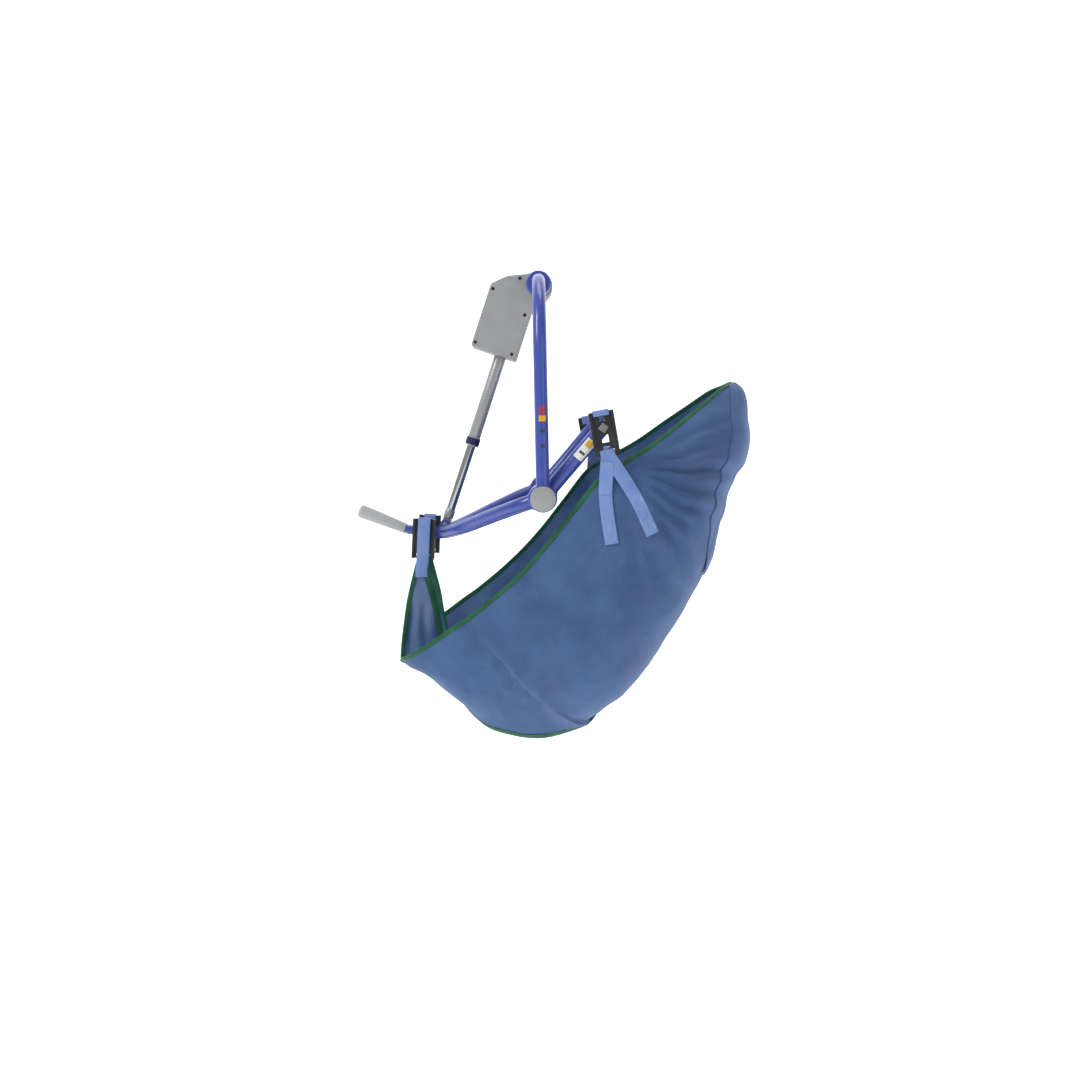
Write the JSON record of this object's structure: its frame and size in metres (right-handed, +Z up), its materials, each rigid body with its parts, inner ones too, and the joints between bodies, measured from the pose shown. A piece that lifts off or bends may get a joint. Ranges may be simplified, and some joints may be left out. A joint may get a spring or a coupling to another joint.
{
  "type": "patient lift hanger with sling",
  "caption": "Powered tilting hanger of a patient lift with its mesh sling: tube frame, linear actuator, clips and grip handle.",
  "frame": {"origin": "centre of the top hub, on the axis of its cross shaft, in the middle plane", "axes": "+X towards the patient's back, -X towards the grip handle, +Y along the hub shaft to the far side, +Z up"},
  "size_m": [0.7921, 0.5546, 0.9294],
  "materials": {
    "blue_paint": "gloss powder coat",
    "plated_steel": "zinc plated",
    "grey_housing": "fine spark texture",
    "screw_steel": "blackened",
    "grey_tube": "satin lacquer",
    "navy_nylon": "moulded",
    "chrome_rod": "polished",
    "cast_block": "as cast",
    "bronze": "sintered bronze",
    "white_nylon": "moulded",
    "board": "lacquered",
    "clip_nylon": "moulded",
    "grip": "moulded soft grip",
    "webbing": "woven polyester webbing",
    "sling_mesh": "warp-knitted polyester mesh"
  },
  "bodies": {
    "hanger_frame": {"hub_shaft": "plated_steel", "hub_end_near": "blue_paint", "hub_end_far": "blue_paint", "hoop_leg_near": "blue_paint", "hoop_leg_far": "blue_paint", "hoop_eye_near": "blue_paint", "hoop_eye_far": "blue_paint", "pivot_pin_near": "plated_steel", "pivot_pin_far": "plated_steel", "pivot_cap_near": "grey_housing", "pivot_cap_far": "grey_housing"},
    "tilt_frame": {"pivot_sleeve_near": "blue_paint", "pivot_sleeve_far": "blue_paint", "shoulder_arm_near": "blue_paint", "shoulder_arm_far": "blue_paint", "leg_arm_near": "blue_paint", "leg_arm_far": "blue_paint", "front_bar": "blue_paint", "rod_fork": "blue_paint", "rod_pin_near": "plated_steel", "rod_pin_far": "plated_steel", "shoulder_lug_near": "plated_steel", "shoulder_lug_far": "plated_steel", "leg_lug_near": "plated_steel", "leg_lug_far": "plated_steel", "pivot_bush_near": "white_nylon", "pivot_bush_far": "white_nylon", "head_batten_near": "white_nylon", "head_batten_far": "white_nylon", "shoulder_clip_near": "clip_nylon", "shoulder_clip_far": "clip_nylon", "leg_clip_near": "clip_nylon", "leg_clip_far": "clip_nylon", "handle_grip": "grip", "shoulder_webbing_near": "webbing", "shoulder_webbing_far": "webbing", "leg_webbing_near": "webbing", "leg_webbing_far": "webbing", "sling_body": "sling_mesh"},
    "actuator": {"housing_cover_near": "grey_housing", "housing_cover_far": "grey_housing", "cover_screw_1": "screw_steel", "cover_screw_2": "screw_steel", "cover_screw_3": "screw_steel", "cover_screw_4": "screw_steel", "cover_screw_5": "screw_steel", "gear_block": "cast_block", "rear_bush": "bronze", "spindle_bearing": "plated_steel", "motor": "plated_steel", "limit_switch_board": "board", "outer_tube": "grey_tube", "collar_ring": "navy_nylon"},
    "spindle": {"spindle": "plated_steel", "spindle_gear": "white_nylon"},
    "motor_rotor": {"motor_shaft": "plated_steel", "motor_pinion": "plated_steel"},
    "rod": {"push_rod": "chrome_rod", "drive_nut": "bronze", "rod_end": "grey_tube"}
  },
  "joints": [
    {"name": "tilt", "type": "hinge", "parent": "hanger_frame", "child": "tilt_frame", "pos_m": [0.0085, 0, -0.415], "axis": [0, 1, 0], "range_deg": [-15, 25]},
    {"name": "actuator_swing", "type": "hinge", "parent": "hanger_frame", "child": "actuator", "pos_m": [0, 0, 0], "axis": [0, 1, 0], "range_deg": [-6, 8]},
    {"name": "spindle_spin", "type": "hinge", "parent": "actuator", "child": "spindle", "pos_m": [-0.02894, 0, 0.00963], "axis": [-0.3156, 0, -0.9489], "range_deg": [-2800, 4600]},
    {"name": "motor_spin", "type": "hinge", "parent": "actuator", "child": "motor_rotor", "pos_m": [-0.06547, 0, 0.02178], "axis": [-0.3156, 0, -0.9489], "range_deg": [-9200, 5600]},
    {"name": "rod_slide", "type": "slide", "parent": "actuator", "child": "rod", "axis": [-0.3156, 0, -0.9489], "range_m": [-0.078, 0.048]}
  ],
  "couplings": [
    {"joint": "actuator_swing", "follows": "tilt", "ratio": 0.229},
    {"joint": "rod_slide", "follows": "tilt", "m_per_rad": -0.1699},
    {"joint": "spindle_spin", "follows": "tilt", "ratio": 177.92},
    {"joint": "motor_spin", "follows": "tilt", "ratio": -355.84}
  ]
}
